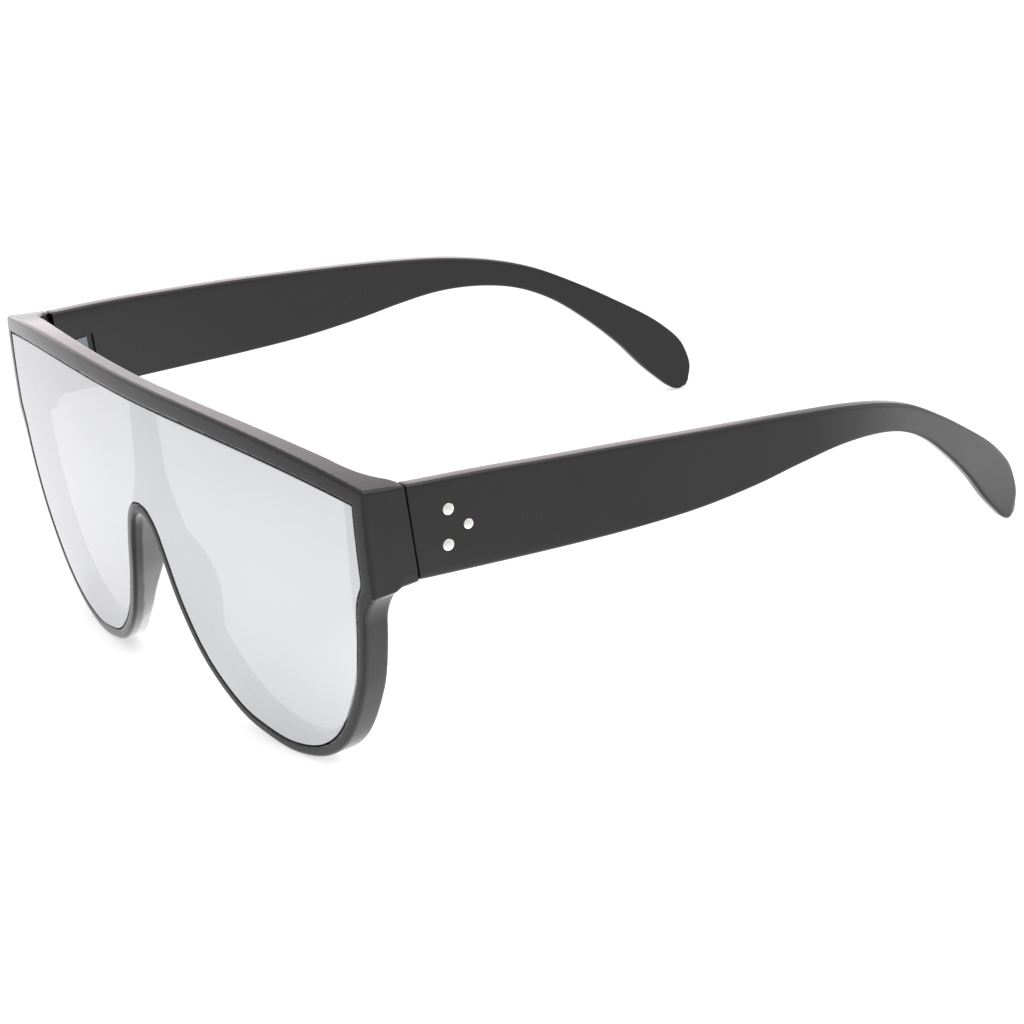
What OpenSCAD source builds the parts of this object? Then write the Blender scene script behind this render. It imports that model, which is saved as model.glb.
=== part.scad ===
// Shield sunglasses: one wide mirror lens in a flat-topped moulded front, with two folding temples.
// Millimetres. The glasses stand on the rim's low points and the temple tips, as set down on a table.
// +Z is up, the lens looks along -Y, the temples run along +Y, and X = 0 is the plane of symmetry.
// The origin is on the table, midway between the lens and the temple tips.

/* [Front] */
// Width across the two endpieces
front_w = 143.2; // [134:0.2:152]
// Height from the rim's low points to the middle of the brow
front_h = 62.5; // [58:0.5:68]
// Radius of the curved face that the lens and the rim share
face_r = 300; // [240:5:400]
// Width of the rim round the lower lens, seen from the front
rim_w = 2; // [1.6:0.1:2.6]
// Depth of the rim from front to back
rim_depth = 4.8; // [4:0.1:6]
// Width of the band beside the upper part of the lens
side_band_w = 2.8; // [2.2:0.1:3.4]
// Width of the brow above the middle of the lens
brow_w = 3.6; // [2.8:0.1:4.5]
// How far the brow's top edge drops from the middle to its ends
brow_drop = 6.1; // [4:0.1:8]
// Depth of the brow's top face at the middle
brow_depth = 3.6; // [3.2:0.1:5]
// Radius of the brow's back face
brow_back_r = 250; // [210:5:300]
// Angle by which the brow's top face falls towards the back
brow_slope = 9.5; // [6:0.5:12]

/* [Lens] */
// Thickness of the lens
lens_t = 1.9; // [1.5:0.1:2.2]
// How far the lens face lies below the rim's face
lens_recess = 0.2; // [0.1:0.05:0.4]
// Gap between the lens edge and the rim
lens_gap = 0.2; // [0.05:0.05:0.3]
// Gap behind the lens, filled by its adhesive
lens_bed = 0.03; // [0.02:0.01:0.1]
// Drop of the lens's top edge from the middle to its upper corners
lens_drop = 5.1; // [3.5:0.1:6.5]
// Width of the ledge behind the lens's top edge
ledge_w = 2.4; // [1.8:0.1:3]

/* [Nose] */
// How far the nose pads reach behind the middle of the face
pad_depth = 8; // [7:0.1:11]
// Thickness of each nose pad
pad_t = 2.8; // [2.2:0.1:3.4]
// Angle by which each nose pad opens towards the back
pad_splay = 16; // [8:1:24]

/* [Endpieces] */
// Length of the endpiece from the front's corner to the temple
endpiece_len = 8; // [7:0.2:10]
// Height of the endpiece at the front's corner
endpiece_h = 18.6; // [16:0.2:20]
// Radius of the fillet between the endpiece's underside and the rim's outer side
endpiece_fillet = 2.2; // [1:0.2:2.2]

/* [Temples] */
// Length of a temple from its joint to the end of its tip
temple_len = 137.6; // [128:0.2:148]
// Height of a temple at its joint
temple_h = 17.2; // [15:0.2:18]
// Thickness of a temple
temple_t = 3.2; // [2.8:0.1:4]
// Radius of a temple's long edges
temple_edge_r = 0.7; // [0.4:0.1:1.2]
// Radius of the outward bow of a temple, seen from above
bow_r = 489; // [400:10:700]
// Radius of the inward bend before the ear
ear_r = 108; // [80:5:160]
// Gap between the endpiece and the open temple
joint_gap = 0.1; // [0.05:0.05:0.3]

/* [Hinges] */
// Radius of the knuckles
knuckle_r = 1.4; // [1.2:0.05:1.6]
// Height of the stack of three knuckles
knuckle_stack = 6; // [5:0.25:7]
// Height of the middle knuckle, which is the temple's
middle_knuckle = 2.4; // [2:0.1:3]
// Gap between neighbouring knuckles
knuckle_gap = 0.1; // [0.05:0.05:0.2]
// Thickness of the two leaves
leaf_t = 0.9; // [0.7:0.05:1.1]
// Length of the front leaf inside the endpiece
front_leaf_len = 4.8; // [3.5:0.1:5.5]
// Length of the temple leaf behind its knuckle
temple_leaf_len = 3.3; // [2.5:0.1:4.5]
// Radius of the screw's shank
screw_r = 0.65; // [0.5:0.05:0.7]
// Radial clearance of the screw in the upper two knuckles
screw_clearance = 0.05; // [0.02:0.01:0.08]

/* [Studs] */
// Diameter of the upper and lower studs
stud_d = 2.15; // [1.6:0.05:2.4]
// Diameter of the middle stud
middle_stud_d = 1.9; // [1.4:0.05:2.2]
// Length of a stud inside the temple
stud_len = 0.8; // [0.6:0.1:1.2]
// How far a stud's domed head stands out
stud_rise = 0.15; // [0.05:0.05:0.3]

/* [Hidden] */

// Overrun of every cut
over = 1;
// Points of each stretch of a drawn curve, and of each long arc
stretch_points = 3;
arc_points = 16;
// Facets of the large balls and of the small round parts
ball_fn = 240;
round_fn = 48;

half_w = front_w / 2;
// The flat-topped bow of the brow and of the lens follows this power of the width
bow_power = 2.8;

// The lens outline. Its shares are of the lens's half width and of its height from its lowest point.
lens_half_w = half_w - side_band_w;
lens_low = rim_w;
lens_h = front_h - brow_w - lens_low;
lens_side_shares = [
  [1, 0.67], [0.996, 0.648], [0.972, 0.585], [0.949, 0.443], [0.907, 0.294], [0.816, 0.127],
  [0.71, 0.034], [0.584, 0], [0.47, 0.014], [0.358, 0.058], [0.24, 0.175], [0.162, 0.332],
  [0.112, 0.494], [0.081, 0.578], [0.042, 0.626], [0, 0.638]
];
// The eye opening's outline behind the lens, from the bridge's top round to the outer corner
eye_shares = [
  [0.045, 0.945], [0.05, 0.84], [0.06, 0.74], [0.086, 0.665], [0.119, 0.6], [0.151, 0.505],
  [0.186, 0.4], [0.227, 0.295], [0.287, 0.195], [0.383, 0.1], [0.483, 0.052], [0.584, 0.038],
  [0.695, 0.067], [0.791, 0.142], [0.861, 0.27], [0.896, 0.43], [0.913, 0.6], [0.922, 0.76],
  [0.924, 0.87]
];

// Place of the face's ball, level with the middle of the lens
face_z = lens_low + lens_h / 2;
function face_depth(x, z) = face_r - sqrt(face_r * face_r - x * x - pow(z - face_z, 2));
endpiece_top = front_h - brow_drop;
corner_depth = face_depth(half_w, endpiece_top);
front_y = -(corner_depth + endpiece_len + joint_gap + temple_len) / 2;
function face_y(x, z) = front_y + face_depth(x, z);

// A smooth curve through points p, with n points to each stretch
function spline_point(a, b, c, d, t) =
  b + t * (c - a) / 2 + t * t * (2 * a - 5 * b + 4 * c - d) / 2
  + t * t * t * (3 * b - a - 3 * c + d) / 2;
function spline(p, n) = [
  for (i = [0 : len(p) - 2])
    for (j = [0 : n - 1])
      spline_point(
        p[max(i - 1, 0)], p[i], p[i + 1], p[min(i + 2, len(p) - 1)], j / n
      ),
  p[len(p) - 1]
];
function flip(p) = [for (i = [len(p) - 1 : -1 : 0]) [-p[i][0], p[i][1]]];
// Points p of a closed outline moved out by d, for an outline that runs clockwise
function moved_out(p, d) = [
  for (i = [0 : len(p) - 1])
    let (
      a = p[(i + len(p) - 1) % len(p)],
      b = p[(i + 1) % len(p)],
      l = norm(b - a)
    )
    p[i] + d * [a[1] - b[1], b[0] - a[0]] / l
];

function brow_z(x) = front_h - brow_drop * pow(abs(x) / half_w, bow_power);
function lens_top_z(x) =
  front_h - brow_w - lens_drop * pow(abs(x) / lens_half_w, bow_power);

// The lens outline runs clockwise from the upper left corner, as the front is drawn
lens_top = [
  for (i = [0 : arc_points])
    let (x = lens_half_w * (2 * i / arc_points - 1))
    [x, lens_top_z(x)]
];
lens_side = [
  for (p = spline(lens_side_shares, stretch_points))
    [p[0] * lens_half_w, lens_low + p[1] * lens_h]
];
lens_half = [for (i = [0 : len(lens_side) - 2]) lens_side[i]];
lens_outline = concat(lens_top, lens_half, flip(lens_side));
rim_outline = moved_out(lens_outline, rim_w);
lens_edge = moved_out(lens_outline, -lens_gap);

eye_side = [
  for (p = spline(eye_shares, stretch_points))
    [p[0] * lens_half_w, lens_low + p[1] * lens_h]
];
eye_outer_x = eye_side[len(eye_side) - 1][0];
eye_inner_x = eye_side[0][0];
eye_top = [
  for (i = [0 : arc_points / 2])
    let (x = eye_outer_x + (eye_inner_x - eye_outer_x) * i / (arc_points / 2))
    [x, lens_top_z(x) - ledge_w]
];
eye_outline = concat(eye_side, eye_top);

// The joint's place: the endpiece ends and the temple begins here
endpiece_low = endpiece_top - endpiece_h;
joint_y = front_y + corner_depth + endpiece_len;
joint_top = endpiece_top - endpiece_len * tan(brow_slope);
joint_low = joint_top - temple_h;
temple_y = joint_y + joint_gap;
joint_inner_x = half_w - temple_t;

// The hinge's axis and its knuckles
pin_inset = 0.2;
pin_setback = 1.9;
pin_x = joint_inner_x - pin_inset;
pin_y = joint_y + pin_setback;
stack_below_top = 6.85;
stack_top = joint_top - stack_below_top;
stack_low = stack_top - knuckle_stack;
middle_low = stack_low + (knuckle_stack - middle_knuckle) / 2;
middle_top = middle_low + middle_knuckle;
leaf_x = pin_x + knuckle_r - leaf_t;
leaf_gap = 0.02;
screw_head_r = 1;
screw_head_h = 0.5;
screw_slot_w = 0.3;
tap_clearance = 0.01;
relief_gap = 0.25;
slot_gap = 0.15;
slot_len = 8.1;

module along_y(y0, y1) {
  translate([0, y1, 0])
    rotate([90, 0, 0])
      linear_extrude(height = y1 - y0)
        children();
}

module along_x(x0, x1) {
  translate([x0, 0, 0])
    rotate([90, 0, 90])
      linear_extrude(height = x1 - x0)
        children();
}

// The ball whose near side is the face, or a surface parallel to it at the given depth
module face_ball(depth) {
  translate([0, front_y + face_r, face_z])
    sphere(r = face_r - depth, $fn = ball_fn);
}

module both_sides() {
  children();
  mirror([1, 0, 0])
    children();
}

// The band round the lens, with the bridge and the ledge that the lens sits on
module rim_ring() {
  difference() {
    intersection() {
      along_y(front_y - over, joint_y)
        polygon(rim_outline);
      face_ball(0);
    }
    face_ball(rim_depth);
  }
}

// The brow and the endpieces, seen from above. The brow's back is an arc that turns into the endpiece.
brow_back_y = face_y(0, front_h) + brow_depth;
function brow_y(x) = brow_back_y + brow_back_r - sqrt(brow_back_r * brow_back_r - x * x);
turn_share = 0.8;
turn_x = turn_share * half_w;
turn_bulge = 5.6;
turn_rise = 1.2;
function turn_point(t) =
  (1 - t) * (1 - t) * [turn_x, brow_y(turn_x)]
  + 2 * t * (1 - t) * [half_w - turn_bulge, brow_y(turn_x) + turn_rise]
  + t * t * [joint_inner_x, joint_y];
turn_points = 8;
brow_half = concat(
  [for (i = [0 : arc_points - 1]) let (x = turn_x * i / arc_points) [x, brow_y(x)]],
  [for (i = [0 : turn_points]) turn_point(i / turn_points)],
  [[half_w, joint_y], [half_w, front_y - over]]
);
brow_plan = concat(brow_half, flip([for (i = [1 : len(brow_half) - 1]) brow_half[i]]));

// The top edge's place in a plane square to the slope, so that the top face falls towards the back
brow_top = [
  for (i = [0 : 2 * arc_points])
    let (x = half_w * (i / arc_points - 1))
    [x, brow_z(x) * cos(brow_slope) + face_y(x, brow_z(x)) * sin(brow_slope)]
];

module brow() {
  intersection() {
    rotate([-brow_slope, 0, 0])
      along_y(front_y - front_h, joint_y + front_h)
        polygon(concat(brow_top, [[half_w, -front_h], [-half_w, -front_h]]));
    translate([0, 0, endpiece_low])
      linear_extrude(height = front_h)
        polygon(brow_plan);
    face_ball(0);
  }
}

// The concave fillet between an endpiece's underside and the rim's outer side, tangent to both
foot_point = arc_points + 1 + stretch_points;
foot_span = 2;
foot_a = rim_outline[foot_point];
foot_b = rim_outline[foot_point + foot_span];
foot_up = (foot_a - foot_b) / norm(foot_a - foot_b);
foot_out = [foot_up[1], -foot_up[0]];
foot_z = endpiece_low - endpiece_fillet;
foot_x = foot_b[0] + (endpiece_fillet + (foot_z - foot_b[1]) * foot_up[0]) / foot_out[0];
foot_touch = [foot_x, foot_z] - endpiece_fillet * foot_out;

module endpiece_foot() {
  difference() {
    intersection() {
      along_y(front_y - over, joint_y)
        polygon([
          [foot_x, endpiece_low], [foot_x, endpiece_low + rim_w / 2],
          foot_touch - foot_out * rim_w / 2, foot_touch
        ]);
      face_ball(0);
    }
    face_ball(rim_depth);
    translate([foot_x, front_y - 2 * over, foot_z])
      rotate([-90, 0, 0])
        cylinder(h = joint_y - front_y + 4 * over, r = endpiece_fillet, $fn = round_fn);
  }
}

// The pads follow the lens's nose edge, open towards the back, and reach deepest beside the nose
pad_first = 26;
pad_last = 40;
pad_pivot_point = 11;
pad_line = [for (i = [pad_first : pad_last]) lens_side[i]];
function side_normal(i) =
  let (d = lens_side[i + 1] - lens_side[i - 1])
  [-d[1], d[0]] / norm(d);
pad_band = concat(
  [for (i = [pad_first : pad_last]) lens_side[i] + rim_w * side_normal(i)],
  [for (i = [pad_last : -1 : pad_first]) lens_side[i] + (rim_w - pad_t) * side_normal(i)]
);
pad_low_share = 0.12;
pad_top_share = 1.02;
pad_depth_shares = [
  [pad_low_share, 0.55], [0.26, 0.6], [0.38, 0.7], [0.48, 0.85], [0.58, 0.98], [0.68, 1],
  [0.8, 0.86], [0.92, 0.68], [pad_top_share, 0.55]
];
arch_z = lens_low + lens_side_shares[len(lens_side_shares) - 1][1] * lens_h;
pad_profile = concat(
  [for (p = spline(pad_depth_shares, stretch_points)) [front_y + p[1] * pad_depth, p[0] * arch_z]],
  [[front_y + rim_w / 2, pad_top_share * arch_z], [front_y + rim_w / 2, pad_low_share * arch_z]]
);

module nose_pad() {
  pivot_x = lens_half_w * lens_side_shares[pad_pivot_point][0];
  intersection() {
    face_ball(rim_w / 2);
    translate([pivot_x, front_y + rim_w, 0])
      rotate([0, 0, -pad_splay])
        translate([-pivot_x, 0, 0])
          along_y(-rim_w, 2 * pad_depth)
            polygon(pad_band);
    along_x(0, half_w)
      polygon(pad_profile);
  }
}

module leaf_pocket() {
  translate([leaf_x - leaf_gap, joint_y - front_leaf_len - leaf_gap, stack_low - leaf_gap])
    cube([leaf_t + 2 * leaf_gap, front_leaf_len + over, knuckle_stack + 2 * leaf_gap]);
}

module front_frame() {
  color([0.13, 0.13, 0.13])
    difference() {
      union() {
        rim_ring();
        brow();
        both_sides() {
          endpiece_foot();
          nose_pad();
        }
      }
      // The seat of the lens
      difference() {
        along_y(front_y - over, joint_y)
          polygon(lens_outline);
        face_ball(lens_recess + lens_t + lens_bed);
      }
      both_sides() {
        along_y(front_y - over, joint_y + over)
          polygon(eye_outline);
        leaf_pocket();
      }
    }
}

module shield_lens() {
  color([0.85, 0.87, 0.9, 0.75])
    difference() {
      intersection() {
        along_y(front_y - over, joint_y)
          polygon(lens_edge);
        face_ball(lens_recess);
      }
      face_ball(lens_recess + lens_t);
    }
}

// A temple's side view. Each row pairs a point of the top edge with one of the bottom edge, first
// its share of the temple's length, then its share of the joint's height above the table.
temple_shares = [
  [0.101, 0.97, 0.101, 0.662], [0.202, 0.933, 0.202, 0.636], [0.303, 0.895, 0.303, 0.612],
  [0.404, 0.853, 0.404, 0.597], [0.505, 0.81, 0.495, 0.599], [0.586, 0.772, 0.566, 0.61],
  [0.657, 0.733, 0.636, 0.613], [0.727, 0.68, 0.702, 0.591], [0.788, 0.612, 0.758, 0.546],
  [0.849, 0.513, 0.808, 0.468], [0.899, 0.42, 0.854, 0.358], [0.944, 0.33, 0.894, 0.242],
  [0.971, 0.262, 0.926, 0.128], [0.988, 0.205, 0.95, 0.055], [0.996, 0.15, 0.964, 0.018],
  [0.999, 0.095, 0.976, 0.002], [0.995, 0.045, 0.986, 0.008]
];
// Each row's thickness, as a share of the temple's
thickness_shares = [
  1, 1, 1, 1, 1, 1, 1, 1, 0.98, 0.95, 0.9, 0.86, 0.83, 0.82, 0.82, 0.81, 0.79, 0.66
];
temple_sides = concat([[0, 1, 0, joint_low / joint_top]], temple_shares);
temple_rows = [
  for (p = spline(
    [for (i = [0 : len(temple_sides) - 1]) concat(temple_sides[i], thickness_shares[i])],
    stretch_points
  ))
    [
      temple_y + p[0] * temple_len, p[1] * joint_top,
      temple_y + p[2] * temple_len, p[3] * joint_top,
      p[4] * temple_t
    ]
];
last_row = len(temple_rows) - 1;

// A temple seen from above: a long outward bow, the bend before the ear, then a straight tip
peak_share = 0.323;
bend_share = 0.581;
tip_angle = 18.3;
peak_y = temple_y + peak_share * temple_len;
peak_x = half_w + bow_r - sqrt(bow_r * bow_r - pow(peak_y - temple_y, 2));
bend_y = temple_y + bend_share * temple_len;
bend_angle = asin((bend_y - peak_y) / bow_r);
bend_x = peak_x - bow_r * (1 - cos(bend_angle));
ear_x = bend_x - ear_r * cos(bend_angle);
ear_y = bend_y - ear_r * sin(bend_angle);
tip_x = ear_x + ear_r * cos(tip_angle);
tip_y = ear_y + ear_r * sin(tip_angle);
function outer_x(y) =
  y < bend_y ? peak_x - bow_r + sqrt(bow_r * bow_r - pow(y - peak_y, 2))
  : y < tip_y ? ear_x + sqrt(ear_r * ear_r - pow(y - ear_y, 2))
  : tip_x - (y - tip_y) * tan(tip_angle);
function outer_angle(y) = asin((y - peak_y) / bow_r);

// One cross-section, a rectangle with round corners that stands between a row's two points
corner_steps = 2;
function corner(u, v, r, a, i) =
  let (
    row = temple_rows[i],
    h = norm([row[2] - row[0], row[3] - row[1]]),
    share = (v > 0 ? h - r * (1 - sin(a)) : r * (1 - sin(a))) / h,
    y = row[2] + share * (row[0] - row[2]),
    z = row[3] + share * (row[1] - row[3]),
    side = r * (1 - cos(a)),
    inset = (temple_t - row[4]) / 2
  )
  [outer_x(y) - (u > 0 ? temple_t - inset - side : inset + side), y, z];
function section(i) = concat(
  [for (k = [0 : corner_steps]) corner(0, 1, temple_edge_r, k * 90 / corner_steps, i)],
  [for (k = [corner_steps : -1 : 0]) corner(1, 1, temple_edge_r, k * 90 / corner_steps, i)],
  [for (k = [0 : corner_steps]) corner(1, 0, temple_edge_r, k * 90 / corner_steps, i)],
  [for (k = [corner_steps : -1 : 0]) corner(0, 0, temple_edge_r, k * 90 / corner_steps, i)]
);
ring_points = 4 * (corner_steps + 1);
temple_points = [for (i = [0 : last_row]) each section(i)];
temple_faces = concat(
  [[for (k = [0 : ring_points - 1]) k]],
  [
    for (i = [0 : last_row - 1])
      for (k = [0 : ring_points - 1])
        each
          let (
            a = i * ring_points + k,
            b = i * ring_points + (k + 1) % ring_points,
            c = b + ring_points,
            d = a + ring_points
          )
          [[a, d, c], [a, c, b]]
  ],
  [[for (k = [ring_points - 1 : -1 : 0]) last_row * ring_points + k]]
);

// The three studs, by their share of the temple's length and of the joint's height
stud_shares = [[0.0505, 0.885], [0.074, 0.818], [0.0435, 0.772]];
stud_gap = 0.02;
function stud_r(k) = (k == 1 ? middle_stud_d : stud_d) / 2;

// Puts its children at stud k, with +Z out of the temple
module at_stud(k) {
  y = temple_y + stud_shares[k][0] * temple_len;
  translate([outer_x(y), y, stud_shares[k][1] * joint_top])
    rotate([0, 90, outer_angle(y)])
      children();
}

module hinge_slot() {
  z0 = stack_low - slot_gap;
  h = knuckle_stack + 2 * slot_gap;
  x0 = pin_x - 2 * knuckle_r;
  translate([x0, temple_y - over, z0])
    cube([leaf_x + leaf_t + leaf_gap - x0, slot_len + over, h]);
  translate([x0, temple_y - over, z0])
    cube([
      leaf_x + leaf_t + relief_gap - x0,
      pin_y + knuckle_r + relief_gap - temple_y + over,
      h
    ]);
}

module temple() {
  color([0.14, 0.14, 0.14])
    difference() {
      polyhedron(points = temple_points, faces = temple_faces, convexity = 4);
      hinge_slot();
      for (k = [0 : 2])
        at_stud(k)
          translate([0, 0, -stud_len - stud_gap])
            cylinder(h = stud_len + 2 * over, r = stud_r(k) + stud_gap, $fn = round_fn);
    }
}

module studs() {
  color([0.9, 0.89, 0.86])
    for (k = [0 : 2])
      at_stud(k)
        intersection() {
          translate([0, 0, -stud_len])
            cylinder(h = stud_len + stud_rise, r = stud_r(k), $fn = round_fn);
          translate([0, 0, stud_rise - 4 * stud_r(k)])
            sphere(r = 4 * stud_r(k), $fn = 2 * round_fn);
        }
}

// The front leaf sits in the endpiece and ends in the upper and lower knuckles
module front_leaf() {
  lower_top = middle_low - knuckle_gap;
  upper_low = middle_top + knuckle_gap;
  color([0.62, 0.63, 0.66])
    difference() {
      union() {
        translate([leaf_x, joint_y - front_leaf_len, stack_low])
          cube([leaf_t, front_leaf_len, knuckle_stack]);
        for (z = [[stack_low, lower_top], [upper_low, stack_top]]) {
          translate([leaf_x, joint_y - over / 2, z[0]])
            cube([leaf_t, pin_y - joint_y + over / 2, z[1] - z[0]]);
          translate([pin_x, pin_y, z[0]])
            cylinder(h = z[1] - z[0], r = knuckle_r, $fn = round_fn);
        }
      }
      translate([pin_x, pin_y, stack_low - over])
        cylinder(h = lower_top - stack_low + 2 * over, r = screw_r + tap_clearance, $fn = round_fn);
      translate([pin_x, pin_y, upper_low - over])
        cylinder(h = knuckle_stack, r = screw_r + screw_clearance, $fn = round_fn);
      translate([pin_x, pin_y, stack_top - screw_head_h])
        cylinder(h = screw_head_h + over, r = screw_head_r + screw_clearance, $fn = round_fn);
    }
}

// The temple leaf lies in the temple's slot and ends in the middle knuckle
module temple_leaf() {
  color([0.62, 0.63, 0.66])
    difference() {
      union() {
        translate([leaf_x, pin_y + knuckle_r, stack_low])
          cube([leaf_t, temple_leaf_len, knuckle_stack]);
        translate([leaf_x, pin_y, middle_low])
          cube([leaf_t, knuckle_r + over / 2, middle_knuckle]);
        translate([pin_x, pin_y, middle_low])
          cylinder(h = middle_knuckle, r = knuckle_r, $fn = round_fn);
      }
      translate([pin_x, pin_y, middle_low - over])
        cylinder(h = knuckle_stack, r = screw_r + screw_clearance, $fn = round_fn);
    }
}

// The screw's slotted head lies flush in the upper knuckle
module hinge_screw() {
  color([0.7, 0.7, 0.72])
    translate([pin_x, pin_y, 0])
      difference() {
        union() {
          translate([0, 0, stack_low])
            cylinder(h = knuckle_stack - screw_head_h / 2, r = screw_r, $fn = round_fn);
          translate([0, 0, stack_top - screw_head_h])
            cylinder(h = screw_head_h, r = screw_head_r, $fn = round_fn);
        }
        translate([-2 * screw_head_r, -screw_slot_w / 2, stack_top - screw_head_h / 2])
          cube([4 * screw_head_r, screw_slot_w, screw_head_h]);
      }
}

module left_temple() {
  temple();
}

module right_temple() {
  mirror([1, 0, 0])
    temple();
}

module left_front_leaf() {
  front_leaf();
}

module right_front_leaf() {
  mirror([1, 0, 0])
    front_leaf();
}

module left_temple_leaf() {
  temple_leaf();
}

module right_temple_leaf() {
  mirror([1, 0, 0])
    temple_leaf();
}

module left_hinge_screw() {
  hinge_screw();
}

module right_hinge_screw() {
  mirror([1, 0, 0])
    hinge_screw();
}

module left_temple_studs() {
  studs();
}

module right_temple_studs() {
  mirror([1, 0, 0])
    studs();
}

front_frame();
shield_lens();
left_temple();
right_temple();
left_front_leaf();
right_front_leaf();
left_temple_leaf();
right_temple_leaf();
left_hinge_screw();
right_hinge_screw();
left_temple_studs();
right_temple_studs();
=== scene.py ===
import math

import bpy
import numpy as np
from mathutils import Matrix, Vector


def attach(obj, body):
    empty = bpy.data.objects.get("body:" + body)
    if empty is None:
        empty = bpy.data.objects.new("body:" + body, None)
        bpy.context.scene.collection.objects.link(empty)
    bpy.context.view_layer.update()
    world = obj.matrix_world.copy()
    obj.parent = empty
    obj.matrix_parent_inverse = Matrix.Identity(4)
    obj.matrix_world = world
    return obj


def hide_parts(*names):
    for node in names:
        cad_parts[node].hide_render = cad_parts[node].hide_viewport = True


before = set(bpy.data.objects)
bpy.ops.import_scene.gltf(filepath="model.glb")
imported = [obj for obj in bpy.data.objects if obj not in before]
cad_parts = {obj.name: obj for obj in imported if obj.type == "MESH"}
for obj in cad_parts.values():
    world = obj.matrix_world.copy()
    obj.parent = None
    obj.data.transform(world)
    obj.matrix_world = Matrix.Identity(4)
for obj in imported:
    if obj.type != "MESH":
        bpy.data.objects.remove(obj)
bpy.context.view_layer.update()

# Camera
# It stands to the wearer's left of the front, a little above it, and far enough off that the
# lens, brow and both temples draw as in a long portrait lens, with the picture turned slightly.
azimuth, elevation, roll = math.radians(61.18497), math.radians(21.79021), math.radians(-8.60928)
camera_place = (0.552528, -0.305265, 0.263388)
sensor_w, focal_len = 36, 123.046875
forward = Vector((
    -math.sin(azimuth) * math.cos(elevation),
    math.cos(azimuth) * math.cos(elevation),
    -math.sin(elevation),
))
level = forward.cross(Vector((0, 0, 1))).normalized()
upright = level.cross(forward)
right = math.cos(roll) * level + math.sin(roll) * upright
up = right.cross(forward)
camera = bpy.data.objects.new("camera", bpy.data.cameras.new("camera"))
bpy.context.scene.collection.objects.link(camera)
camera.matrix_world = Matrix.Translation(camera_place) @ Matrix((
    (right.x, up.x, -forward.x, 0),
    (right.y, up.y, -forward.y, 0),
    (right.z, up.z, -forward.z, 0),
    (0, 0, 0, 1),
))
camera.data.sensor_width, camera.data.lens = sensor_w, focal_len
camera.data.clip_start, camera.data.clip_end = 0.05, 20
bpy.context.scene.camera = camera

# Front moulding
# One black injection moulding holds the lens: the flat brow, the rim, the bridge, the two nose
# pads and the endpieces that carry the hinges. Every edge of it is softly rounded in the mould.
MM = 0.001
half_w, front_h, brow_drop, bow_power = 71.6, 62.5, 6.1, 2.8
face_r, rim_w, rim_depth = 300.0, 2.0, 4.8
lens_half_w, lens_low, lens_h, lens_drop = 68.8, 2.0, 56.9, 5.1
lens_top_mid = lens_low + lens_h
face_z = lens_low + lens_h / 2
lens_recess, lens_t, lens_bed, ledge_w = 0.2, 1.9, 0.03, 2.4
brow_depth, brow_back_r, brow_slope = 3.6, 250.0, math.radians(9.5)
endpiece_len, endpiece_h = 8.0, 18.6
foot_lean, foot_x, foot_top, foot_fillet = math.radians(42), 60, 44, 1.6
rim_edge_r, brow_edge_r, ledge_edge_r, joint_corner_r = 0.8, 0.7, 0.5, 1.8
seat_edge_r, seat_edge_mid = 0.14, 0.04
temple_len, temple_t, joint_gap = 137.6, 3.2, 0.1
endpiece_top = front_h - brow_drop
endpiece_low = endpiece_top - endpiece_h
corner_depth = face_r - math.sqrt(face_r**2 - half_w**2 - (endpiece_top - face_z) ** 2)
front_y = -(corner_depth + endpiece_len + joint_gap + temple_len) / 2
joint_y = front_y + corner_depth + endpiece_len
joint_inner_x = half_w - temple_t
lens_shares = np.array([
    (1, 0.67), (0.996, 0.648), (0.972, 0.585), (0.949, 0.443), (0.907, 0.294), (0.816, 0.127),
    (0.71, 0.034), (0.584, 0), (0.47, 0.014), (0.358, 0.058), (0.24, 0.175), (0.162, 0.332),
    (0.112, 0.494), (0.081, 0.578), (0.042, 0.626), (0, 0.638),
])
eye_shares = np.array([
    (0.045, 0.945), (0.05, 0.84), (0.06, 0.74), (0.086, 0.665), (0.119, 0.6), (0.151, 0.505),
    (0.186, 0.4), (0.227, 0.295), (0.287, 0.195), (0.383, 0.1), (0.483, 0.052), (0.584, 0.038),
    (0.695, 0.067), (0.791, 0.142), (0.861, 0.27), (0.896, 0.43), (0.913, 0.6), (0.922, 0.76),
    (0.924, 0.87),
])


def through(points, places):
    """A smooth curve through points, read at places counted in points: each stretch is the cubic
    whose slope at a point is half the step between that point's two neighbours."""
    places = np.asarray(places, float)
    i = np.clip(places.astype(int), 0, len(points) - 2)
    t = (places - i)[:, None]
    a, b = points[np.maximum(i - 1, 0)], points[i]
    c, d = points[i + 1], points[np.minimum(i + 2, len(points) - 1)]
    return (
        b + t * (c - a) / 2 + t**2 * (2 * a - 5 * b + 4 * c - d) / 2
        + t**3 * (3 * b - a - 3 * c + d) / 2
    )


def across_lens(shares, places):
    """Points of the front view, from shares of the lens's half width and of its height."""
    return through(shares, places) * (lens_half_w, lens_h) + (0, lens_low)


def lens_top_z(x):
    """Height of the lens's top edge: it drops from the middle by a power of the width."""
    return lens_top_mid - lens_drop * (np.abs(x) / lens_half_w) ** bow_power


def brow_z(x):
    """Height of the brow's front top edge, which drops by the same power of the width."""
    return front_h - brow_drop * (np.abs(x) / half_w) ** bow_power


def face_y(x, z, depth=0.0):
    """The near side of a ball of radius face_r, or of the smaller ball depth inside it."""
    return front_y + face_r - np.sqrt((face_r - depth) ** 2 - x**2 - (z - face_z) ** 2)


def face_depth(x, y, z):
    """How deep points lie inside the ball of radius face_r that the front's face is part of."""
    return face_r - np.sqrt(x**2 + (y - front_y - face_r) ** 2 + (z - face_z) ** 2)


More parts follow.
